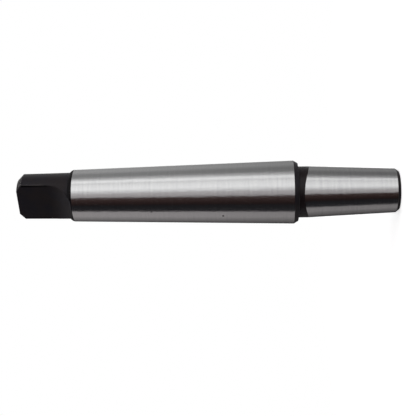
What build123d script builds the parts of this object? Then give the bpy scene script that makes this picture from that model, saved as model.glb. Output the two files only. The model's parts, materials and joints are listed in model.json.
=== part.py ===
from build123d import *
import math
import os

# Drill chuck arbor, turned and ground from one steel bar. All sizes are in millimetres.
# It stands on the end face of its chuck taper: the origin is the centre of that face,
# +Z runs up the axis through the shoulder and the shank to the tang, and the tang's two
# flats face +Y and -Y.

# Chuck taper, short taper no. 2: it widens upwards from the end face to the neck
chuck_small_diameter = 12.386  # at the end face, where the chamfer takes it away
chuck_taper_rate = 0.08155  # growth of the diameter per unit of length
chuck_taper_length = 25.05
chuck_end_chamfer_length = 0.95
chuck_end_chamfer_depth = 0.8

# Neck, left as turned between the chuck taper and the shoulder
neck_length = 2.45
neck_fillet_radius = 0.4

# Shoulder, the shank's large end with a bevelled rim
shoulder_bevel_length = 1.25
shoulder_bevel_depth = 0.72

# Shank, self-holding spindle taper no. 2: it narrows upwards from the shoulder
shank_gauge_diameter = 17.78
shank_taper_rate = 1 / 20.02  # loss of the diameter per unit of length
shoulder_to_gauge_line = 4.55
gauge_line_to_tang_end = 75.0
shank_end_to_tang_end = 16.0
shank_end_round_length = 1.25
shank_end_round_radius = 1.6

# Tang, a round stub with two milled flats that run out in the cutter's radius
tang_diameter = 13.2  # where the stub leaves the shank
tang_end_diameter = 12.9  # where its end chamfer starts
tang_thickness = 6.3
tang_flat_length = 8.8
tang_runout_radius = 8.0
tang_end_chamfer = 1.5

# Centre holes, which carry the arbor while both tapers are ground
chuck_centre_mouth_diameter = 5.3
chuck_centre_pilot_diameter = 2.5
chuck_centre_pilot_length = 2.6
tang_centre_mouth_diameter = 4.25
tang_centre_pilot_diameter = 2.0
tang_centre_pilot_length = 2.1
centre_cone_angle = 60.0
drill_tip_angle = 118.0

# Heights along the axis
chuck_taper_start = chuck_end_chamfer_length
chuck_taper_end = chuck_taper_start + chuck_taper_length
shoulder_height = chuck_taper_end + neck_length
gauge_line_height = shoulder_height + shoulder_to_gauge_line
arbor_length = gauge_line_height + gauge_line_to_tang_end
shank_start = shoulder_height + shoulder_bevel_length
shank_end = arbor_length - shank_end_to_tang_end
tang_round_start = shank_end + shank_end_round_length
tang_flat_start = arbor_length - tang_flat_length


def chuck_radius(height):
    """Radius of the chuck taper's cone at a height above the end face."""
    return (chuck_small_diameter + height * chuck_taper_rate) / 2


def shank_radius(height):
    """Radius of the shank's cone at a height above the end face."""
    lost_diameter = (height - gauge_line_height) * shank_taper_rate
    return (shank_gauge_diameter - lost_diameter) / 2


# Radii along the axis
chuck_start_radius = chuck_radius(chuck_taper_start)
neck_radius = chuck_radius(chuck_taper_end)
shoulder_face_radius = shank_radius(shank_start) - shoulder_bevel_depth
tang_radius = tang_diameter / 2
tang_end_radius = tang_end_diameter / 2


def turned_blank():
    """The arbor as it leaves the lathe and the grinder, round all over."""
    with BuildPart() as blank:
        with BuildSketch(Plane.XZ):
            with BuildLine():
                Polyline(
                    (0, arbor_length),
                    (0, 0),
                    (chuck_start_radius - chuck_end_chamfer_depth, 0),
                    (chuck_start_radius, chuck_taper_start),
                    (neck_radius, chuck_taper_end),
                    (neck_radius, shoulder_height - neck_fillet_radius),
                )
                RadiusArc(
                    (neck_radius, shoulder_height - neck_fillet_radius),
                    (neck_radius + neck_fillet_radius, shoulder_height),
                    neck_fillet_radius,
                )
                Polyline(
                    (neck_radius + neck_fillet_radius, shoulder_height),
                    (shoulder_face_radius, shoulder_height),
                    (shank_radius(shank_start), shank_start),
                    (shank_radius(shank_end), shank_end),
                )
                RadiusArc(
                    (shank_radius(shank_end), shank_end),
                    (tang_radius, tang_round_start),
                    -shank_end_round_radius,
                )
                Polyline(
                    (tang_radius, tang_round_start),
                    (tang_end_radius, arbor_length - tang_end_chamfer),
                    (tang_end_radius - tang_end_chamfer, arbor_length),
                    (0, arbor_length),
                )
            make_face()
        revolve(axis=Axis.Z)
    return blank.part


def tang_cutter():
    """What the milling cutter takes away beside the tang's +Y flat."""
    flat = tang_thickness / 2
    outside = flat + tang_runout_radius
    above = arbor_length + tang_runout_radius
    with BuildPart() as cutter:
        with BuildSketch(Plane.YZ):
            with BuildLine():
                RadiusArc(
                    (flat, tang_flat_start),
                    (outside, tang_flat_start - tang_runout_radius),
                    -tang_runout_radius,
                )
                Polyline(
                    (outside, tang_flat_start - tang_runout_radius),
                    (outside, above),
                    (flat, above),
                    (flat, tang_flat_start),
                )
            make_face()
        extrude(amount=tang_radius + tang_runout_radius, both=True)
    return cutter.part


def centre_hole(mouth_diameter, pilot_diameter, pilot_length):
    """A centre-drilled hole that opens downwards at height 0 and goes up from there."""
    mouth, pilot = mouth_diameter / 2, pilot_diameter / 2
    cone_end = (mouth - pilot) / math.tan(math.radians(centre_cone_angle / 2))
    pilot_end = cone_end + pilot_length
    tip = pilot_end + pilot / math.tan(math.radians(drill_tip_angle / 2))
    with BuildPart() as hole:
        with BuildSketch(Plane.XZ):
            with BuildLine():
                Polyline(
                    (0, 0),
                    (mouth, 0),
                    (pilot, cone_end),
                    (pilot, pilot_end),
                    (0, tip),
                    close=True,
                )
            make_face()
        revolve(axis=Axis.Z)
    return hole.part


def arbor():
    """The finished arbor: the blank with its tang flats milled and its ends centred."""
    front_cutter = tang_cutter()
    chuck_centre = centre_hole(
        chuck_centre_mouth_diameter, chuck_centre_pilot_diameter, chuck_centre_pilot_length
    )
    tang_centre = centre_hole(
        tang_centre_mouth_diameter, tang_centre_pilot_diameter, tang_centre_pilot_length
    )
    turned_over = Pos(0, 0, arbor_length) * Rot(180, 0, 0)
    body = turned_blank() - front_cutter - mirror(front_cutter, about=Plane.XZ)
    return body - chuck_centre - turned_over * tang_centre


os.makedirs("parts", exist_ok=True)
export_step(arbor(), "parts/arbor.step")
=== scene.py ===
"""Drill chuck arbor, standing on the end face of its chuck taper.

The arbor is one piece of steel: a turned blank with a milled tang, blackened all over and then
ground bright on its two tapers. The frame gives its sizes through the mounts in the record, and
lengths here are in millimetres until a mesh is made.
"""

import json
import logging
import math
from dataclasses import dataclass
from enum import Enum
from typing import Any

import bpy
from mathutils import Matrix, Vector

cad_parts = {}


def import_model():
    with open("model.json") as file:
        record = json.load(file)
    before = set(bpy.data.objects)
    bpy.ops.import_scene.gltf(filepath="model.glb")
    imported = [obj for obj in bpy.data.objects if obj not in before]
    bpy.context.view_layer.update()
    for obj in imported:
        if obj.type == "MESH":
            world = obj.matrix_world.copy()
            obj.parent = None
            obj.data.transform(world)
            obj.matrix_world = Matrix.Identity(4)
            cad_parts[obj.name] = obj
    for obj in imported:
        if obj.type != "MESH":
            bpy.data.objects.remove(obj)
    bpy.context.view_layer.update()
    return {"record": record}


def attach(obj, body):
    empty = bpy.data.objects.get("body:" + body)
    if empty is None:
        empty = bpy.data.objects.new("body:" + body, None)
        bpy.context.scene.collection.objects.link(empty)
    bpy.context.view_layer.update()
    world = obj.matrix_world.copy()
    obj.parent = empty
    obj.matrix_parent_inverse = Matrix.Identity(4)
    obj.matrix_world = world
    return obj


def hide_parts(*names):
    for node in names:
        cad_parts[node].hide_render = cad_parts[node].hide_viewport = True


MM = 0.001
MERGE_MM = 0.001  # points closer than this are one
NODE = "arbor"
BODY = "root"
Point = tuple[float, float]

log = logging.getLogger("arbor")


def linear(hex_code: str) -> tuple[float, float, float, float]:
    """Turns an sRGB hex colour into Blender's linear colour.

    Args:
        hex_code: six hex digits, with or without a leading #.

    Returns:
        Linear red, green, blue and an alpha of 1.
    """
    digits = hex_code.lstrip("#")
    channels = [int(digits[i : i + 2], 16) / 255 for i in (0, 2, 4)]
    bent = [c / 12.92 if c <= 0.04045 else ((c + 0.055) / 1.055) ** 2.4 for c in channels]
    return (*bent, 1.0)


def add_node(
    tree: bpy.types.NodeTree, kind: str, inputs: dict | None = None, **settings: Any
) -> bpy.types.Node:
    """Adds one node, with its settings, its values and its links.

    Args:
        tree: the node tree that gets the node.
        kind: the node's type name.
        inputs: input name or number, to a value or to the output socket that feeds it.
        **settings: the node's own properties.

    Returns:
        The new node.
    """
    node = tree.nodes.new(kind)
    for name, value in settings.items():
        setattr(node, name, value)
    for key, value in (inputs or {}).items():
        if isinstance(value, bpy.types.NodeSocket):
            tree.links.new(value, node.inputs[key])
        else:
            node.inputs[key].default_value = value
    return node


def new_material(name: str) -> tuple[bpy.types.Material, bpy.types.NodeTree]:
    """Makes an empty node material.

    Args:
        name: the material's name.

    Returns:
        The material and its cleared node tree.
    """
    material = bpy.data.materials.new(name)
    material.use_nodes = True
    material.node_tree.nodes.clear()
    return material, material.node_tree


def new_object(name: str, vertices: list, edges: list, faces: list) -> bpy.types.Object:
    """Makes a mesh object at the origin and puts it in the scene.

    Args:
        name: the object's and the mesh's name.
        vertices: points in metres.
        edges: pairs of vertex numbers.
        faces: lists of vertex numbers.

    Returns:
        The object.
    """
    mesh = bpy.data.meshes.new(name)
    mesh.from_pydata(vertices, edges, faces)
    obj = bpy.data.objects.new(name, mesh)
    bpy.context.scene.collection.objects.link(obj)
    return obj


def apply_modifiers(obj: bpy.types.Object) -> None:
    """Turns an object's evaluated result into its plain mesh and drops its modifiers."""
    graph = bpy.context.evaluated_depsgraph_get()
    mesh = bpy.data.meshes.new_from_object(obj.evaluated_get(graph), depsgraph=graph)
    mesh.name = obj.name
    obj.modifiers.clear()
    obj.data = mesh


def corner_arc(before: Point, corner: Point, after: Point, radius: float, steps: int) -> list[Point]:
    """Rounds one corner of an outline.

    Args:
        before: the point before the corner.
        corner: the corner itself.
        after: the point after it.
        radius: the arc's radius, or 0 to keep the corner sharp.
        steps: how many segments the arc has.

    Returns:
        The points that take the corner's place.
    """
    if radius <= 0:
        return [corner]
    here = Vector(corner)
    back = (Vector(before) - here).normalized()
    ahead = (Vector(after) - here).normalized()
    half = back.angle(ahead) / 2
    middle = here + (back + ahead).normalized() * (radius / math.sin(half))
    start = here + back * (radius / math.tan(half)) - middle
    sweep = start.angle_signed(here + ahead * (radius / math.tan(half)) - middle)
    turned = [Matrix.Rotation(-sweep * i / steps, 2) @ start for i in range(steps + 1)]
    return [tuple(middle + offset) for offset in turned]


@dataclass
class PhotoCamera:
    """The camera, at the photograph's viewpoint.

    The photograph shows the arbor lying down with its tang on the left. Here it stands, so the
    camera is rolled by a quarter turn instead.
    """

    azimuth_deg: float = 34.0
    eye_height_mm: float = 43.92
    eye_distance_mm: float = 276.43
    lens_mm: float = 83.9
    sensor_mm: float = 36.0
    aim_towards_tang_deg: float = 2.092
    aim_down_deg: float = 0.859
    roll_deg: float = -0.957
    clip_start_mm: float = 10.0

    def build(self) -> bpy.types.Object:
        """Makes the camera and gives it to the scene.

        Returns:
            The camera object.
        """
        azimuth = math.radians(self.azimuth_deg)
        to_eye = Vector((math.sin(azimuth), -math.cos(azimuth), 0))
        picture_up = Vector((math.cos(azimuth), math.sin(azimuth), 0))
        picture_right = Vector((0, 0, -1))
        aim = Matrix.Rotation(math.radians(self.aim_towards_tang_deg), 3, "Y")
        tilt = Matrix.Rotation(-math.radians(self.aim_down_deg), 3, "X")
        roll = Matrix.Rotation(math.radians(self.roll_deg), 3, "Z")
        level = Matrix((picture_right, picture_up, to_eye)).transposed()
        turn = (level @ aim @ tilt @ roll).to_4x4()
        eye = to_eye * self.eye_distance_mm * MM + Vector((0, 0, self.eye_height_mm * MM))
        data = bpy.data.cameras.new("photo_camera")
        data.lens = self.lens_mm
        data.sensor_width = self.sensor_mm
        data.clip_start = self.clip_start_mm * MM
        camera = bpy.data.objects.new("photo_camera", data)
        camera.matrix_world = Matrix.Translation(eye) @ turn
        bpy.context.scene.collection.objects.link(camera)
        bpy.context.scene.camera = camera
        return camera


@dataclass(frozen=True)
class GroundSteel:
    """Hardened tool steel, ground between centres: a bright metal with fine lines round the axis.

    Across its lines a reflection is drawn out along the arbor, and round the arbor it stays sharp,
    which gives the long bands with crisp edges. The wheel's chatter makes those edges a little
    uneven.
    """

    name: str = "ground_tool_steel"
    light: str = "D2D2D2"
    dark: str = "C9C9CA"
    pit: str = "2E2A28"
    roughness: float = 0.2
    roughness_spread: float = 0.08
    anisotropy: float = 0.8
    quarter_turn: float = 0.25
    line_pitch_mm: float = 0.4  # a 60 grit wheel's are about 0.05 mm, too fine to show
    line_run_mm: float = 9.0
    line_depth_mm: float = 0.0012
    line_layers: float = 3.0  # finer layers of the noise, as below
    traverse_pitch_mm: float = 6.0
    traverse_run_mm: float = 18.0
    traverse_layers: float = 1.0
    traverse_share: float = 0.08
    chatter_round_mm: float = 0.7
    chatter_along_mm: float = 2.4
    chatter_depth_mm: float = 0.02
    chatter_layers: float = 2.0
    tone_from: float = 0.3  # the noise that gives the dark tone
    tone_to: float = 0.7  # and the light one
    pits: tuple[tuple[Vector, float], ...] = ()  # centres in metres, radii in millimetres

    def material(self) -> bpy.types.Material:
        """Makes the material.

        Returns:
            The ground steel, lined round the Z axis, with its few small pits.
        """
        material, tree = new_material(self.name)
        space = add_node(tree, "ShaderNodeTexCoord").outputs["Object"]
        lines = self.streaks(tree, space, self.line_run_mm, self.line_pitch_mm, self.line_layers)
        traverse = self.streaks(
            tree, space, self.traverse_run_mm, self.traverse_pitch_mm, self.traverse_layers
        )
        chatter = self.streaks(
            tree, space, self.chatter_round_mm, self.chatter_along_mm, self.chatter_layers
        )
        roughness = add_node(
            tree,
            "ShaderNodeMath",
            {0: lines, 1: self.roughness_spread, 2: self.roughness},
            operation="MULTIPLY_ADD",
        )
        lined = add_node(tree, "ShaderNodeBump", {"Height": lines, "Distance": self.line_depth_mm * MM})
        uneven = add_node(
            tree,
            "ShaderNodeBump",
            {
                "Height": chatter,
                "Distance": self.chatter_depth_mm * MM,
                "Normal": lined.outputs["Normal"],
            },
        )
        tangent = add_node(tree, "ShaderNodeTangent", direction_type="RADIAL", axis="Z")
        shader = add_node(
            tree,
            "ShaderNodeBsdfPrincipled",
            {
                "Base Color": self.pitted(tree, space, self.tone(tree, lines, traverse)),
                "Metallic": 1.0,
                "Roughness": roughness.outputs[0],
                "Anisotropic": self.anisotropy,
                "Anisotropic Rotation": self.quarter_turn,
                "Normal": uneven.outputs["Normal"],
                "Tangent": tangent.outputs[0],
            },
        )
        add_node(tree, "ShaderNodeOutputMaterial", {"Surface": shader.outputs[0]})
        return material

    def streaks(
        self,
        tree: bpy.types.NodeTree,
        space: bpy.types.NodeSocket,
        across_mm: float,
        along_mm: float,
        layers: float,
    ) -> bpy.types.NodeSocket:
        """Adds noise that is drawn out in one direction.

        Args:
            tree: the node tree.
            space: the object's coordinates.
            across_mm: the pattern's size in X and Y, so round the arbor.
            along_mm: its size along Z.
            layers: how many finer layers it has.

        Returns:
            The noise, from 0 to 1.
        """
        scale = Vector((1 / across_mm, 1 / across_mm, 1 / along_mm)) / MM
        stretched = add_node(tree, "ShaderNodeMapping", {"Vector": space, "Scale": scale})
        return add_node(
            tree, "ShaderNodeTexNoise", {"Vector": stretched.outputs[0], "Scale": 1.0, "Detail": layers}
        ).outputs["Fac"]

    def tone(
        self, tree: bpy.types.NodeTree, lines: bpy.types.NodeSocket, traverse: bpy.types.NodeSocket
    ) -> bpy.types.NodeSocket:
        """Adds the steel's colour, which changes a little with the lines and the wheel's traverse.

        Args:
            tree: the node tree.
            lines: the fine lines' noise.
            traverse: the broad bands' noise.

        Returns:
            The colour.
        """
        both = add_node(
            tree,
            "ShaderNodeMix",
            {"Factor": self.traverse_share, "A": lines, "B": traverse},
            data_type="FLOAT",
        ).outputs["Result"]
        spread = add_node(
            tree, "ShaderNodeMapRange", {"Value": both, "From Min": self.tone_from, "From Max": self.tone_to}
        )
        return add_node(
            tree,
            "ShaderNodeMix",
            {"Factor": spread.outputs[0], "A": linear(self.dark), "B": linear(self.light)},
            data_type="RGBA",
        ).outputs["Result"]

    def pitted(
        self, tree: bpy.types.NodeTree, space: bpy.types.NodeSocket, colour: bpy.types.NodeSocket
    ) -> bpy.types.NodeSocket:
        """Adds a dark spot to the colour for each pit.

        Args:
            tree: the node tree.
            space: the object's coordinates.
            colour: the colour without them.

        Returns:
            The colour with them.
        """
        for centre, radius in self.pits:
            away = add_node(tree, "ShaderNodeVectorMath", {0: space, 1: centre}, operation="DISTANCE")
            inside = add_node(
                tree,
                "ShaderNodeMapRange",
                {"Value": away.outputs["Value"], "From Min": radius * MM, "From Max": radius * MM / 2},
            )
            colour = add_node(
                tree,
                "ShaderNodeMix",
                {"Factor": inside.outputs[0], "A": colour, "B": linear(self.pit)},
                data_type="RGBA",
            ).outputs["Result"]
        return colour


@dataclass(frozen=True)
class EdgeBand:
    """A strip beside the tang's milled edges, tinted paler or blacker as painted highlight or painted shade.

    It lies beyond a distance from the axis, or from the plane between the flats, and above a
    height.
    """

    tint: str
    share: float
    weights: tuple[float, float, float]  # 1 for each coordinate that the distance counts
    distance_mm: float
    height_mm: float
    distance_fade_mm: float = 0.15
    height_fade_mm: float = 2.0

    def strength(self, tree: bpy.types.NodeTree, space: bpy.types.NodeSocket) -> bpy.types.NodeSocket:
        """Adds how much of the tint a point has.

        Args:
            tree: the node tree.
            space: the object's coordinates.

        Returns:
            The tint's share there.
        """
        counted = add_node(
            tree, "ShaderNodeVectorMath", {0: space, 1: self.weights}, operation="MULTIPLY"
        )
        distance = add_node(tree, "ShaderNodeVectorMath", {0: counted.outputs[0]}, operation="LENGTH")
        height = add_node(tree, "ShaderNodeSeparateXYZ", {0: space}).outputs["Z"]
        limits = (
            (distance.outputs["Value"], self.distance_mm, self.distance_fade_mm, self.share),
            (height, self.height_mm, self.height_fade_mm, 1.0),
        )
        shares = [
            add_node(
                tree,
                "ShaderNodeMapRange",
                {
                    "Value": value,
                    "From Min": start * MM,
                    "From Max": (start + fade) * MM,
                    "To Max": most,
                },
            ).outputs[0]
            for value, start, fade, most in limits
        ]
        return add_node(
            tree, "ShaderNodeMath", {0: shares[0], 1: shares[1]}, operation="MULTIPLY"
        ).outputs[0]


@dataclass(frozen=True)
class BlackOxide:
    """Hot blackened and oiled steel: a fine dark skin over the marks of the cutter.

    It reads as a soft black that goes from violet to brown, paler where it turns away from the
    eye, with grey specks where handling has rubbed it through. Beside a milled edge it can have
    a paler line of painted highlight on the round side and a blacker line of painted shade on
    the flat side.
    """

    name: str
    violet: str = "1E1B22"
    brown: str = "231D1F"
    rubbed: str = "8A8683"
    wear: float = 0.0  # 0.2 is a few specks, 1 is half of the skin gone
    wear_reach: float = 0.25  # how far a wear of 1 lowers the noise above which the skin is gone
    unworn_limit: float = 0.75
    worn_fade: float = 0.1
    roughness: float = 0.4
    roughness_spread: float = 0.15
    specular_level: float = 0.16
    sheen: float = 0.1
    feed_pitch_mm: float = 0.5  # the feed is about 0.15 mm a turn, too fine to show
    feed_run_mm: float = 12.0
    feed_depth_mm: float = 0.006
    feed_layers: float = 2.0
    patch_mm: float = 4.0
    patch_layers: float = 2.0
    violet_to: float = 0.35  # the noise up to which the skin is violet
    brown_from: float = 0.65  # and from which it is brown
    speck_mm: float = 0.35
    speck_layers: float = 4.0
    # a strip of painted highlight or painted shade beside the milled edges
    band: EdgeBand | None = None

    def material(self) -> bpy.types.Material:
        """Makes the material.

        Returns:
            The blackened steel, with cutter marks that lie across the Z axis.
        """
        material, tree = new_material(self.name)
        space = add_node(tree, "ShaderNodeTexCoord").outputs["Object"]
        run = self.feed_run_mm * MM
        scale = (1 / run, 1 / run, 1 / (self.feed_pitch_mm * MM))
        stretched = add_node(tree, "ShaderNodeMapping", {"Vector": space, "Scale": scale})
        feed = add_node(
            tree,
            "ShaderNodeTexNoise",
            {"Vector": stretched.outputs[0], "Scale": 1.0, "Detail": self.feed_layers},
        ).outputs["Fac"]
        patches = add_node(
            tree,
            "ShaderNodeTexNoise",
            {"Vector": space, "Scale": 1 / (self.patch_mm * MM), "Detail": self.patch_layers},
        ).outputs["Fac"]
        roughness = add_node(
            tree,
            "ShaderNodeMath",
            {0: patches, 1: self.roughness_spread, 2: self.roughness - self.roughness_spread / 2},
            operation="MULTIPLY_ADD",
        )
        bump = add_node(tree, "ShaderNodeBump", {"Height": feed, "Distance": self.feed_depth_mm * MM})
        skin = self.skin(tree, space, patches)
        shader = add_node(
            tree,
            "ShaderNodeBsdfPrincipled",
            {
                "Base Color": self.worn(tree, space, skin),
                "Roughness": roughness.outputs[0],
                "Specular IOR Level": self.specular_level,
                "Sheen Weight": self.sheen,
                "Normal": bump.outputs["Normal"],
            },
        )
        add_node(tree, "ShaderNodeOutputMaterial", {"Surface": shader.outputs[0]})
        return material

    def skin(
        self, tree: bpy.types.NodeTree, space: bpy.types.NodeSocket, patches: bpy.types.NodeSocket
    ) -> bpy.types.NodeSocket:
        """Adds the oxide's own colour, and the band of painted highlight or painted shade where one is
        given.

        Args:
            tree: the node tree.
            space: the object's coordinates.
            patches: the noise that its two tints follow.

        Returns:
            The colour.
        """
        share = add_node(
            tree,
            "ShaderNodeMapRange",
            {"Value": patches, "From Min": self.violet_to, "From Max": self.brown_from},
        )
        colour = add_node(
            tree,
            "ShaderNodeMix",
            {"Factor": share.outputs[0], "A": linear(self.violet), "B": linear(self.brown)},
            data_type="RGBA",
        ).outputs["Result"]
        if not self.band:
            return colour
        return add_node(
            tree,
            "ShaderNodeMix",
            {"Factor": self.band.strength(tree, space), "A": colour, "B": linear(self.band.tint)},
            data_type="RGBA",
        ).outputs["Result"]

    def worn(
        self, tree: bpy.types.NodeTree, space: bpy.types.NodeSocket, skin: bpy.types.NodeSocket
    ) -> bpy.types.NodeSocket:
        """Adds the specks where the skin is rubbed through.

        Args:
            tree: the node tree.
            space: the object's coordinates.
            skin: the oxide's own colour, with any band of painted highlight or painted shade.

        Returns:
            The colour with the specks.
        """
        specks = add_node(
            tree,
            "ShaderNodeTexNoise",
            {"Vector": space, "Scale": 1 / (self.speck_mm * MM), "Detail": self.speck_layers},
        )
        least = self.unworn_limit - self.wear * self.wear_reach
        most = least + self.worn_fade
        share = add_node(
            tree, "ShaderNodeMapRange", {"Value": specks.outputs["Fac"], "From Min": least, "From Max": most}
        )
        return add_node(
            tree,
            "ShaderNodeMix",
            {"Factor": share.outputs[0], "A": skin, "B": linear(self.rubbed)},
            data_type="RGBA",
        ).outputs["Result"]


class Zone(Enum):
    """The stretches of the arbor's surface that differ in finish, or in painted shade at the shank's rounded
    end and the milled edges' bevels.
    """

    TURNED = "turned"
    GROUND = "ground"
    NECK = "neck"
    ROUND_END = "round_end"
    TANG_RIM = "tang_rim"
    MILLED = "milled"
    EDGE = "edge"


@dataclass(frozen=True)
class Pit:
    """One small pit in the shank: its height, its turn round the axis and its radius."""

    height_mm: float
    turn_deg: float
    radius_mm: float


@dataclass(frozen=True)
class Corner:
    """One corner of the turned outline, and what its next stretch is left with."""

    radius: float
    height: float
    rounding: float = 0.0
    zone: Zone = Zone.TURNED
    wander: float = 0.0


@dataclass
class ArborBody:
    """The one solid piece: turned blank, two ground tapers and the milled tang.

    Lengths are in millimetres. What the record's mounts give comes from the frame, and the rest
    repeats the part's own sizes.
    """

    record: dict
    chuck_taper_rate: float = 0.08155
    chuck_end_chamfer_depth: float = 0.8
    neck_fillet_radius: float = 0.4
    shoulder_bevel_length: float = 1.25
    shoulder_bevel_depth: float = 0.72
    shank_taper_rate: float = 1 / 20.02
    shank_end_round_length: float = 1.25
    shank_end_round_radius: float = 1.6
    tang_radius: float = 6.6
    tang_end_radius: float = 6.45
    tang_flat_length: float = 8.8
    tang_runout_radius: float = 8.0
    tang_end_chamfer: float = 1.5
    chuck_centre: tuple[float, float, float] = (5.3, 2.5, 2.6)
    tang_centre: tuple[float, float, float] = (4.25, 2.0, 2.1)
    centre_cone_deg: float = 60.0
    drill_tip_deg: float = 118.0
    edge_break: float = 0.1
    edge_break_steps: int = 5
    milled_edge_break: float = 0.22
    milled_edge_steps: int = 2
    edge_band: float = 0.45  # how wide the painted highlight and the painted shade strip are
    painted_highlight_rise: float = 0.3  # how far above the flat's start the painted highlight strip begins
    painted_shade_drop: float = 1.7  # and how far below it the painted shade strip does
    ground_edge_swing: float = 0.78
    ground_edge_phase_deg: float = 128.0
    ground_edge_rise: float = -0.05
    ragged_edge: float = 0.2
    ragged_pitch: float = 1.2
    ragged_seed: float = 7.0
    facets: int = 288
    sharp_from_deg: float = 32.0
    pits: tuple[Pit, ...] = (Pit(49.6, -104.6, 0.36), Pit(69.6, -93.6, 0.32))

    def __post_init__(self) -> None:
        """Reads the driving sizes from the record's mounts."""
        mounts = {mount["name"]: mount for mount in self.record["mounts"]}
        spindle, chuck = mounts["spindle_taper"], mounts["chuck_taper"]
        self.gauge_height = spindle["pos_m"][2] / MM
        self.gauge_radius = spindle["dims"]["r_mm"]
        self.chuck_start = chuck["pos_m"][2] / MM
        self.chuck_small_radius = chuck["dims"]["r_mm"]
        self.chuck_end = self.chuck_start + chuck["dims"]["length_mm"]
        self.neck_radius = self.chuck_radius(self.chuck_end)
        self.shoulder = mounts["shoulder_face"]["pos_m"][2] / MM
        self.shank_start = self.shoulder + self.shoulder_bevel_length
        self.shank_end = self.shank_start + spindle["dims"]["length_mm"]
        self.tang_half = mounts["tang_flat_plus_y"]["pos_m"][1] / MM
        self.top = mounts["tang_end_face"]["pos_m"][2] / MM

    def chuck_radius(self, height: float) -> float:
        """The chuck taper's radius at a height."""
        return self.chuck_small_radius + (height - self.chuck_start) * self.chuck_taper_rate / 2

    def shank_radius(self, height: float) -> float:
        """The shank's radius at a height."""
        return self.gauge_radius - (height - self.gauge_height) * self.shank_taper_rate / 2

    def finishes(self) -> dict[Zone, GroundSteel | BlackOxide]:
        """Chooses each zone's finish.

        Returns:
            The finish of every zone.
        """
        centres = []
        for pit in self.pits:
            angle, radius = math.radians(pit.turn_deg), self.shank_radius(pit.height_mm)
            point = Vector((radius * math.cos(angle), radius * math.sin(angle), pit.height_mm))
            centres.append((point * MM, pit.radius_mm))
        flat_start = self.top - self.tang_flat_length
        # painted highlight: a paler strip on the tang's round side along the milled edges
        painted_highlight_band = EdgeBand(
            tint="8A8683",
            share=0.13,
            weights=(0.0, 1.0, 0.0),
            distance_mm=self.tang_half - self.edge_band,
            height_mm=flat_start + self.painted_highlight_rise,
            distance_fade_mm=0.25,
        )
        # painted shade: a blacker strip on the flats along their outer edges
        painted_shade_band = EdgeBand(
            tint="110E11",
            share=1.0,
            weights=(1.0, 1.0, 0.0),
            distance_mm=self.tang_end_radius - self.edge_band,
            height_mm=flat_start - self.painted_shade_drop,
        )
        return {
            Zone.TURNED: BlackOxide("black_oxide_turned", band=painted_highlight_band),
            Zone.GROUND: GroundSteel(pits=tuple(centres)),
            Zone.NECK: BlackOxide(
                "black_oxide_neck", violet="1B161D", brown="1E1618", roughness=0.28, specular_level=0.21
            ),
            # painted shade: the shank's rounded end gets a blacker, less reflecting oxide
            Zone.ROUND_END: BlackOxide(
                "black_oxide_round_end_painted_shade", violet="0F0D11", brown="120E0F", specular_level=0.08, sheen=0.04
            ),
            Zone.TANG_RIM: BlackOxide("black_oxide_handled", wear=0.9, specular_level=0.08, sheen=0.04),
            Zone.MILLED: BlackOxide(
                "black_oxide_milled", feed_pitch_mm=0.8, feed_depth_mm=0.004, band=painted_shade_band
            ),
            # painted shade: the milled edges' bevels get a near-black, almost unreflecting oxide
            Zone.EDGE: BlackOxide(
                "black_oxide_edge_painted_shade", violet="0B090B", brown="0D0A0B", specular_level=0.04, sheen=0.0
            ),
        }

    def centre_hole(self, sizes: tuple[float, float, float]) -> list[Point]:
        """Outlines a centre hole.

        Args:
            sizes: the mouth's diameter, the pilot's diameter and the pilot's length.

        Returns:
            Radius and depth of each point, from the drill's tip out to the mouth.
        """
        mouth, pilot, length = sizes[0] / 2, sizes[1] / 2, sizes[2]
        cone = (mouth - pilot) / math.tan(math.radians(self.centre_cone_deg / 2))
        tip = cone + length + pilot / math.tan(math.radians(self.drill_tip_deg / 2))
        return [(0.0, tip), (pilot, cone + length), (pilot, cone), (mouth, 0.0)]

    def shank_end_arc(self, steps: int = 8) -> list[Point]:
        """The rounded end of the shank's cone, as points from the cone to the tang.

        Args:
            steps: how many segments the arc has.

        Returns:
            Radius and height of each point.
        """
        start = Vector((self.shank_radius(self.shank_end), self.shank_end))
        end = Vector((self.tang_radius, self.shank_end + self.shank_end_round_length))
        chord = end - start
        inward = Vector((-chord.y, chord.x)).normalized()
        rise = math.sqrt(self.shank_end_round_radius**2 - (chord.length / 2) ** 2)
        middle = (start + end) / 2 + inward * rise
        sweep = (start - middle).angle_signed(end - middle)
        turned = [Matrix.Rotation(-sweep * i / steps, 2) @ (start - middle) for i in range(steps + 1)]
        return [tuple(middle + offset) for offset in turned]

    def corners(self) -> list[Corner]:
        """The turned outline from the lower centre hole round to the upper one.

        Returns:
            The outline's corners, in order.
        """
        fine = self.edge_break
        round_end = self.shank_end_arc()
        bevel_foot = self.shank_radius(self.shank_start) - self.shoulder_bevel_depth
        chamfer_start = self.top - self.tang_end_chamfer
        return [
            *[Corner(r, depth) for r, depth in self.centre_hole(self.chuck_centre)],
            Corner(self.chuck_small_radius - self.chuck_end_chamfer_depth, 0.0, fine),
            Corner(self.chuck_small_radius, self.chuck_start, fine, Zone.GROUND),
            Corner(self.neck_radius, self.chuck_end + self.ground_edge_rise, zone=Zone.NECK, wander=1.0),
            Corner(self.neck_radius, self.shoulder, self.neck_fillet_radius),
            Corner(bevel_foot, self.shoulder, fine),
            Corner(self.shank_radius(self.shank_start), self.shank_start, fine, Zone.GROUND),
            *[Corner(r, height, zone=Zone.ROUND_END) for r, height in round_end[:-1]],
            Corner(*round_end[-1]),
            Corner(self.tang_end_radius, chamfer_start, fine, Zone.TANG_RIM),
            Corner(self.tang_end_radius - self.tang_end_chamfer, self.top, fine),
            *[Corner(r, self.top - depth) for r, depth in reversed(self.centre_hole(self.tang_centre))],
        ]

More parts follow.
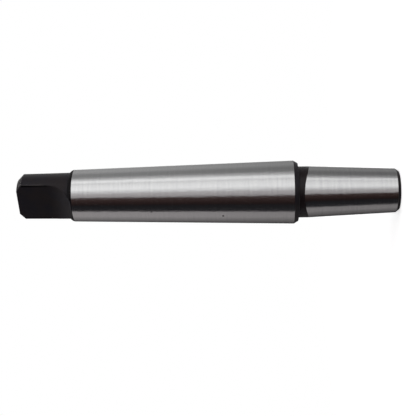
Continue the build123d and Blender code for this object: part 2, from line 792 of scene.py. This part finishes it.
    def draw_outline(self, name: str) -> bpy.types.Object:
        """Draws the turned outline as a line of edges in the XZ plane.

        Args:
            name: the object's name.

        Returns:
            The object. Its edges carry a zone number and its points a share of the wander.
        """
        corners = self.corners()
        points, zones, wander = [], [], []
        for before, corner, after in zip([corners[0], *corners], corners, [*corners[1:], corners[-1]]):
            near = [(c.radius, c.height) for c in (before, corner, after)]
            arc = corner_arc(*near, corner.rounding, self.edge_break_steps)
            points += [(r * MM, 0.0, height * MM) for r, height in arc]
            zones += [list(Zone).index(corner.zone)] * len(arc)
            wander += [corner.wander] * len(arc)
        links = [(i, i + 1) for i in range(len(points) - 1)]
        outline = new_object(name, points, links, [])
        outline.data.attributes.new("zone", "INT", "EDGE").data.foreach_set("value", zones[: len(links)])
        outline.data.attributes.new("wander", "FLOAT", "POINT").data.foreach_set("value", wander)
        return outline

    def tree_inputs(self, materials: dict[Zone, bpy.types.Material]) -> dict[str, tuple[str, Any]]:
        """Names the tree's inputs.

        Args:
            materials: each zone's material.

        Returns:
            Each input's socket type and value, in metres and radians.
        """
        offset = self.tang_half + self.tang_runout_radius
        flat_start = self.top - self.tang_flat_length
        width = 4 * self.tang_runout_radius
        finishes = {f"{zone.value} finish": ("Material", made) for zone, made in materials.items()}
        return {
            "Facets": ("Int", self.facets),
            "Ground Edge Swing": ("Float", self.ground_edge_swing * MM),
            "Ground Edge Phase": ("Float", math.radians(self.ground_edge_phase_deg)),
            "Ragged Edge": ("Float", self.ragged_edge * MM),
            "Ragged Scale": ("Float", 1 / (self.ragged_pitch * MM)),
            "Ragged Seed": ("Float", self.ragged_seed),
            "Flat Start": ("Float", flat_start * MM),
            "Flat End": ("Float", (self.top - self.tang_end_chamfer) * MM),
            "Cutter Radius": ("Float", self.tang_runout_radius * MM),
            "Cutter Width": ("Float", width * MM),
            "Cutter Centre": ("Vector", Vector((0, offset, flat_start)) * MM),
            "Waste Size": ("Vector", Vector((width, width / 2, 2 * self.tang_flat_length)) * MM),
            "Waste Centre": ("Vector", Vector((0, offset, self.top)) * MM),
            **finishes,
        }

    def lathe_and_mill(self, inputs: dict[str, tuple[str, Any]]) -> bpy.types.NodeTree:
        """Builds the tree that turns the outline round the axis and mills the tang's flats.

        Args:
            inputs: each named input's socket type and value.

        Returns:
            The geometry node tree.
        """
        tree = bpy.data.node_groups.new("lathe_and_mill", "GeometryNodeTree")
        tree.interface.new_socket("Outline", in_out="INPUT", socket_type="NodeSocketGeometry")
        for name, (kind, _) in inputs.items():
            tree.interface.new_socket(name, in_out="INPUT", socket_type=f"NodeSocket{kind}")
        tree.interface.new_socket("Arbor", in_out="OUTPUT", socket_type="NodeSocketGeometry")
        given = add_node(tree, "NodeGroupInput").outputs
        milled = add_node(
            tree,
            "GeometryNodeMeshBoolean",
            {"Mesh 1": self.turned_blank(tree, given)},
            operation="DIFFERENCE",
            solver="EXACT",
        )
        for cutter in self.cutters(tree, given):
            tree.links.new(cutter, milled.inputs["Mesh 2"])
        place = add_node(tree, "GeometryNodeInputPosition").outputs[0]
        height = add_node(tree, "ShaderNodeSeparateXYZ", {0: place}).outputs["Z"]
        broken = milled.outputs["Intersecting Edges"]
        for limit, test in (("Flat Start", "GREATER_THAN"), ("Flat End", "LESS_THAN")):
            within = add_node(tree, "ShaderNodeMath", {0: height, 1: given[limit]}, operation=test)
            broken = add_node(
                tree, "ShaderNodeMath", {0: broken, 1: within.outputs[0]}, operation="MULTIPLY"
            ).outputs[0]
        marked = add_node(
            tree,
            "GeometryNodeStoreNamedAttribute",
            {"Geometry": milled.outputs["Mesh"], "Name": "bevel_weight_edge", "Value": broken},
            data_type="FLOAT",
            domain="EDGE",
        )
        real = add_node(tree, "GeometryNodeRealizeInstances", {"Geometry": marked.outputs[0]})
        dressed = real.outputs[0]
        held = add_node(tree, "GeometryNodeInputNamedAttribute", {"Name": "zone"}, data_type="INT")
        for number, zone in enumerate(Zone):
            chosen = add_node(
                tree,
                "ShaderNodeMath",
                {0: held.outputs["Attribute"], 1: number, 2: 0.5},
                operation="COMPARE",
            ).outputs[0]
            finish = given[f"{zone.value} finish"]
            dressed = add_node(
                tree,
                "GeometryNodeSetMaterial",
                {"Geometry": dressed, "Selection": chosen, "Material": finish},
            ).outputs[0]
        add_node(tree, "NodeGroupOutput", {"Arbor": dressed})
        return tree

    def zoned(
        self, tree: bpy.types.NodeTree, mesh: bpy.types.NodeSocket, number: bpy.types.NodeSocket | int
    ) -> bpy.types.NodeSocket:
        """Marks a mesh's faces with the number of their zone.

        Args:
            tree: the node tree.
            mesh: the mesh.
            number: the zone's number, or a field of them.

        Returns:
            The marked mesh.
        """
        return add_node(
            tree,
            "GeometryNodeStoreNamedAttribute",
            {"Geometry": mesh, "Name": "zone", "Value": number},
            data_type="INT",
            domain="FACE",
        ).outputs[0]

    def turned_blank(self, tree: bpy.types.NodeTree, given: Any) -> bpy.types.NodeSocket:
        """Adds the lathe: a grid with a column for each facet and a row for each outline point.

        Args:
            tree: the node tree.
            given: the tree's inputs.

        Returns:
            The closed blank's geometry, with its zones.
        """
        outline = given["Outline"]
        size = add_node(tree, "GeometryNodeAttributeDomainSize", {"Geometry": outline}).outputs
        columns = add_node(tree, "ShaderNodeMath", {0: given["Facets"], 1: 1}, operation="ADD")
        grid = add_node(
            tree,
            "GeometryNodeMeshGrid",
            {"Vertices X": columns.outputs[0], "Vertices Y": size["Point Count"]},
        )
        index = add_node(tree, "GeometryNodeInputIndex").outputs[0]
        stretch = add_node(tree, "ShaderNodeMath", {0: index, 1: size["Edge Count"]}, operation="MODULO")
        zone = add_node(
            tree,
            "GeometryNodeSampleIndex",
            {
                "Geometry": outline,
                "Value": add_node(
                    tree, "GeometryNodeInputNamedAttribute", {"Name": "zone"}, data_type="INT"
                ).outputs["Attribute"],
                "Index": stretch.outputs[0],
            },
            data_type="INT",
            domain="EDGE",
        )
        row = add_node(tree, "ShaderNodeMath", {0: index, 1: size["Point Count"]}, operation="MODULO")
        passed = add_node(
            tree, "ShaderNodeMath", {0: index, 1: size["Point Count"]}, operation="DIVIDE"
        )
        column = add_node(tree, "ShaderNodeMath", {0: passed.outputs[0]}, operation="FLOOR")
        share = add_node(
            tree, "ShaderNodeMath", {0: column.outputs[0], 1: given["Facets"]}, operation="DIVIDE"
        )
        turn = add_node(
            tree, "ShaderNodeMath", {0: share.outputs[0], 1: math.tau}, operation="MULTIPLY"
        ).outputs[0]
        flat = add_node(
            tree,
            "GeometryNodeSampleIndex",
            {
                "Geometry": outline,
                "Value": add_node(tree, "GeometryNodeInputPosition").outputs[0],
                "Index": row.outputs[0],
            },
            data_type="FLOAT_VECTOR",
        )
        place = add_node(
            tree,
            "ShaderNodeVectorRotate",
            {"Vector": flat.outputs[0], "Angle": turn},
            rotation_type="Z_AXIS",
        )
        turned = add_node(
            tree,
            "GeometryNodeSetPosition",
            {
                "Geometry": self.zoned(tree, grid.outputs["Mesh"], zone.outputs[0]),
                "Position": place.outputs[0],
                "Offset": self.ground_edge(tree, given, row.outputs[0], turn, place.outputs[0]),
            },
        )
        closed = add_node(
            tree, "GeometryNodeMergeByDistance", {"Geometry": turned.outputs[0], "Distance": MERGE_MM * MM}
        )
        return closed.outputs[0]

    def ground_edge(
        self,
        tree: bpy.types.NodeTree,
        given: Any,
        row: bpy.types.NodeSocket,
        turn: bpy.types.NodeSocket,
        place: bpy.types.NodeSocket,
    ) -> bpy.types.NodeSocket:
        """Adds the wander of the chuck taper's ground edge, where the wheel runs out on the neck.

        The blank is a little oval before it is ground, so the edge rises and falls twice a turn.

        Args:
            tree: the node tree.
            given: the tree's inputs.
            row: the outline point's number.
            turn: the angle round the axis.
            place: the turned position.

        Returns:
            The offset along the axis.
        """
        held = add_node(tree, "GeometryNodeInputNamedAttribute", {"Name": "wander"}, data_type="FLOAT")
        wander = add_node(
            tree,
            "GeometryNodeSampleIndex",
            {"Geometry": given["Outline"], "Value": held.outputs["Attribute"], "Index": row},
            data_type="FLOAT",
        )
        twice = add_node(
            tree,
            "ShaderNodeMath",
            {0: turn, 1: 2.0, 2: given["Ground Edge Phase"]},
            operation="MULTIPLY_ADD",
        )
        lobes = add_node(tree, "ShaderNodeMath", {0: twice.outputs[0]}, operation="COSINE")
        noise = add_node(
            tree,
            "ShaderNodeTexNoise",
            {"Vector": place, "W": given["Ragged Seed"], "Scale": given["Ragged Scale"], "Detail": 3.0},
            noise_dimensions="4D",
        )
        ragged = add_node(
            tree,
            "ShaderNodeMath",
            {0: noise.outputs["Fac"], 1: given["Ragged Edge"]},
            operation="MULTIPLY",
        )
        swung = add_node(
            tree,
            "ShaderNodeMath",
            {0: lobes.outputs[0], 1: given["Ground Edge Swing"], 2: ragged.outputs[0]},
            operation="MULTIPLY_ADD",
        )
        along = add_node(
            tree, "ShaderNodeMath", {0: swung.outputs[0], 1: wander.outputs[0]}, operation="MULTIPLY"
        )
        return add_node(tree, "ShaderNodeCombineXYZ", {"Z": along.outputs[0]}).outputs[0]

    def cutters(self, tree: bpy.types.NodeTree, given: Any) -> list[bpy.types.NodeSocket]:
        """Adds what the mill takes away beside both flats: the waste and the cutter's round run-out.

        Args:
            tree: the node tree.
            given: the tree's inputs.

        Returns:
            The four pieces' geometry.
        """
        waste = add_node(tree, "GeometryNodeMeshCube", {"Size": given["Waste Size"]})
        cutter = add_node(
            tree,
            "GeometryNodeMeshCylinder",
            {"Vertices": self.facets, "Radius": given["Cutter Radius"], "Depth": given["Cutter Width"]},
        )
        pieces = []
        for mesh, centre, tilt in (
            (waste, given["Waste Centre"], 0.0),
            (cutter, given["Cutter Centre"], math.pi / 2),
        ):
            moved = add_node(
                tree,
                "GeometryNodeTransform",
                {"Geometry": mesh.outputs["Mesh"], "Translation": centre, "Rotation": (0.0, tilt, 0.0)},
            )
            milled = self.zoned(tree, moved.outputs[0], list(Zone).index(Zone.MILLED))
            opposite = add_node(
                tree, "GeometryNodeTransform", {"Geometry": milled, "Rotation": (0.0, 0.0, math.pi)}
            )
            pieces += [milled, opposite.outputs[0]]
        return pieces

    def build(self) -> bpy.types.Object:
        """Makes the arbor's mesh and dresses it.

        Returns:
            The finished object, which rides on the frame's body.
        """
        arbor = self.draw_outline("arbor_steel")
        materials = {zone: finish.material() for zone, finish in self.finishes().items()}
        inputs = self.tree_inputs(materials)
        tree = self.lathe_and_mill(inputs)
        modifier = arbor.modifiers.new("lathe_and_mill", "NODES")
        modifier.node_group = tree
        for item in tree.interface.items_tree:
            if item.in_out == "INPUT" and item.name in inputs:
                modifier[item.identifier] = inputs[item.name][1]
        apply_modifiers(arbor)
        if arbor.data.materials[0] is None:
            arbor.data.materials.pop(index=0)
        bevel = arbor.modifiers.new("edge_break", "BEVEL")
        bevel.limit_method = "WEIGHT"
        bevel.width = self.milled_edge_break * MM
        bevel.segments = self.milled_edge_steps
        bevel.use_clamp_overlap = False
        bevel.material = arbor.data.materials.find(materials[Zone.EDGE].name)
        apply_modifiers(arbor)
        for spare in ("zone", "bevel_weight_edge"):
            arbor.data.attributes.remove(arbor.data.attributes[spare])
        arbor.data.shade_smooth()
        arbor.data.set_sharp_from_angle(angle=math.radians(self.sharp_from_deg))
        weighted = arbor.modifiers.new("weighted_normals", "WEIGHTED_NORMAL")
        weighted.keep_sharp = True
        apply_modifiers(arbor)
        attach(arbor, BODY)
        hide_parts(NODE)
        log.info("arbor_steel: %d faces", len(arbor.data.polygons))
        return arbor


@dataclass(frozen=True)
class Panel:
    """One upright panel of the light tent, seen in the steel as a band along the arbor.

    Angles run round the arbor from the camera's side, positive towards the picture's top. The
    two levels are the light that its first and last edge send out, and the foot's share of them
    holds near the floor.
    """

    name: str
    first_deg: float
    last_deg: float
    first_level: float
    last_level: float
    foot_share: float
    tint: str = "FFFFFF"


@dataclass
class Studio:
    """The plain soft light: a round tent of panels, a pale sky and a pale floor."""

    camera_azimuth_deg: float
    radius_mm: float = 450.0
    heights_mm: tuple[float, ...] = (-1600.0, -40.0, 130.0, 1800.0)
    step_deg: float = 3.0
    floor_mm: float = 400.0  # only as wide as its light is even, because the world beyond is white
    floor_drop_mm: float = 0.02
    floor_colour: str = "EFEFEF"
    floor_glow: float = 0.68
    bottom_level: float = 0.1
    bottom_corners: int = 48
    sky_level: float = 0.8
    panels: tuple[Panel, ...] = (
        Panel("low_wall", -165, -124, 0.03, 0.26, 0.55, "FFFAFB"),
        Panel("low_wall_middle", -124, -104, 0.26, 0.4, 0.56, "FFF9FA"),
        Panel("low_wall_top", -104, -75, 0.4, 0.395, 0.66, "FFF9FA"),
        Panel("flag", -75, -44, 0.018, 0.016, 1.15, "F2F0FF"),
        Panel("flag_edge", -44, -11, 0.016, 0.066, 0.8, "FFCCC6"),
        Panel("softbox_skirt", -11, 8, 0.45, 0.6, 0.9, "FFFAFB"),
        Panel("softbox_fade", 8, 24, 0.72, 1.25, 0.87),
        Panel("softbox", 24, 47, 1.29, 1.11, 0.85),
        Panel("softbox_seam", 47, 55, 0.92, 0.92, 0.92),
        Panel("softbox_top", 55, 66, 1.42, 1.2, 0.76),
        Panel("high_fade", 66, 84, 0.95, 0.35, 0.55),
        Panel("high_wall_edge", 84, 102, 0.33, 0.3, 0.57),
        Panel("high_wall", 102, 122, 0.315, 0.47, 0.56),
        Panel("high_wall_far", 122, 165, 0.46, 0.34, 0.6),
        Panel("rear_softbox", 165, 190, 1.0, 1.0, 1.0),
        Panel("rear_flag", 190, 195, 0.05, 0.1, 1.0),
    )

    def build(self) -> None:
        """Makes the tent, the sky and the floor, which are all stage and not the object."""
        for panel in self.panels:
            self.hang(panel)
        self.close_bottom()
        self.lay_floor()
        self.paint_sky()
        log.info("studio: %d panels", len(self.panels))

    def hang(self, panel: Panel) -> bpy.types.Object:
        """Makes one curved panel that lights the arbor and shows in it, but not in the picture.

        Args:
            panel: the panel's place and levels.

        Returns:
            The panel's object.
        """
        steps = max(1, round((panel.last_deg - panel.first_deg) / self.step_deg))
        rows = len(self.heights_mm)
        vertices, levels = [], []
        for i in range(steps + 1):
            share = i / steps
            degrees = panel.first_deg + share * (panel.last_deg - panel.first_deg)
            level = panel.first_level + share * (panel.last_level - panel.first_level)
            angle = math.radians(self.camera_azimuth_deg - 90 + degrees)
            x, y = self.radius_mm * MM * math.cos(angle), self.radius_mm * MM * math.sin(angle)
            vertices += [(x, y, height * MM) for height in self.heights_mm]
            levels += [level * part for part in (panel.foot_share, panel.foot_share, 1.0, 1.0)]
        corners = [i * rows + j for i in range(steps) for j in range(rows - 1)]
        faces = [(c, c + 1, c + rows + 1, c + rows) for c in corners]
        obj = new_object(f"studio_{panel.name}", vertices, [], faces)
        obj.data.attributes.new("level", "FLOAT", "POINT").data.foreach_set("value", levels)
        material, tree = new_material(f"lit_panel_{panel.name}")
        level = add_node(tree, "ShaderNodeAttribute", attribute_name="level").outputs["Fac"]
        glow = add_node(tree, "ShaderNodeEmission", {"Color": linear(panel.tint), "Strength": level})
        add_node(tree, "ShaderNodeOutputMaterial", {"Surface": glow.outputs[0]})
        obj.data.materials.append(material)
        obj.visible_camera = False
        return obj

    def close_bottom(self) -> bpy.types.Object:
        """Makes the tent's dim bottom, far under the floor, where the steel's view down ends.

        Returns:
            The bottom's object.
        """
        turns = [math.tau * i / self.bottom_corners for i in range(self.bottom_corners)]
        radius, height = self.radius_mm * MM, self.heights_mm[0] * MM
        rim = [(radius * math.cos(turn), radius * math.sin(turn), height) for turn in turns]
        bottom = new_object("studio_bottom", rim, [], [tuple(range(self.bottom_corners))])
        material, tree = new_material("dim_tent_bottom")
        glow = add_node(tree, "ShaderNodeEmission", {"Strength": self.bottom_level})
        add_node(tree, "ShaderNodeOutputMaterial", {"Surface": glow.outputs[0]})
        bottom.data.materials.append(material)
        bottom.visible_camera = False
        return bottom

    def seen(self, tree: bpy.types.NodeTree) -> bpy.types.NodeSocket:
        """Adds a test for what is seen directly, in a metal or through glass.

        Args:
            tree: the node tree.

        Returns:
            1 where the surface is seen so, and 0 where it only lights.
        """
        path = add_node(tree, "ShaderNodeLightPath").outputs
        seen = path["Is Camera Ray"]
        for ray in ("Is Glossy Ray", "Is Transmission Ray"):
            seen = add_node(
                tree, "ShaderNodeMath", {0: seen, 1: path[ray]}, operation="MAXIMUM"
            ).outputs[0]
        return seen

    def lay_floor(self) -> bpy.types.Object:
        """Makes the pale floor, which shows white and keeps the arbor's shadow.

        It stays out of the mirror, so that the chuck taper near it shows the same panels as the
        shank, and it is clear from below.

        Returns:
            The floor's object.
        """
        half, height = self.floor_mm * MM / 2, -self.floor_drop_mm * MM
        corners = [(x * half, y * half, height) for x, y in ((-1, -1), (1, -1), (1, 1), (-1, 1))]
        floor = new_object("studio_floor", corners, [], [(0, 1, 2, 3)])
        material, tree = new_material("white_paper_floor")
        strength = add_node(
            tree, "ShaderNodeMath", {0: self.seen(tree), 1: self.floor_glow}, operation="MULTIPLY"
        )
        paper = add_node(tree, "ShaderNodeBsdfDiffuse", {"Color": linear(self.floor_colour)})
        glow = add_node(tree, "ShaderNodeEmission", {"Strength": strength.outputs[0]})
        both = add_node(tree, "ShaderNodeAddShader", {0: paper.outputs[0], 1: glow.outputs[0]})
        below = add_node(tree, "ShaderNodeNewGeometry").outputs["Backfacing"]
        clear = add_node(tree, "ShaderNodeBsdfTransparent")
        surface = add_node(
            tree, "ShaderNodeMixShader", {0: below, 1: both.outputs[0], 2: clear.outputs[0]}
        )
        add_node(tree, "ShaderNodeOutputMaterial", {"Surface": surface.outputs[0]})
        floor.data.materials.append(material)
        floor.visible_glossy = False
        return floor

    def paint_sky(self) -> None:
        """Makes the world white where it is seen, and a plain soft light elsewhere."""
        world = bpy.data.worlds.new("white_room")
        bpy.context.scene.world = world
        world.use_nodes = True
        tree = world.node_tree
        tree.nodes.clear()
        strength = add_node(
            tree,
            "ShaderNodeMix",
            {"Factor": self.seen(tree), "A": self.sky_level, "B": 1.0},
            data_type="FLOAT",
        ).outputs["Result"]
        sky = add_node(
            tree, "ShaderNodeBackground", {"Color": linear("FFFFFF"), "Strength": strength}
        )
        add_node(tree, "ShaderNodeOutputWorld", {"Surface": sky.outputs[0]})


def main() -> None:
    """Builds the camera, the light and the arbor."""
    logging.basicConfig(level=logging.INFO, format="%(name)s: %(message)s")
    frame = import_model()
    bpy.context.scene.view_settings.view_transform = "Standard"
    camera = PhotoCamera()
    camera.build()
    Studio(camera.azimuth_deg).build()
    ArborBody(frame["record"]).build()


if __name__ == "__main__":
    main()
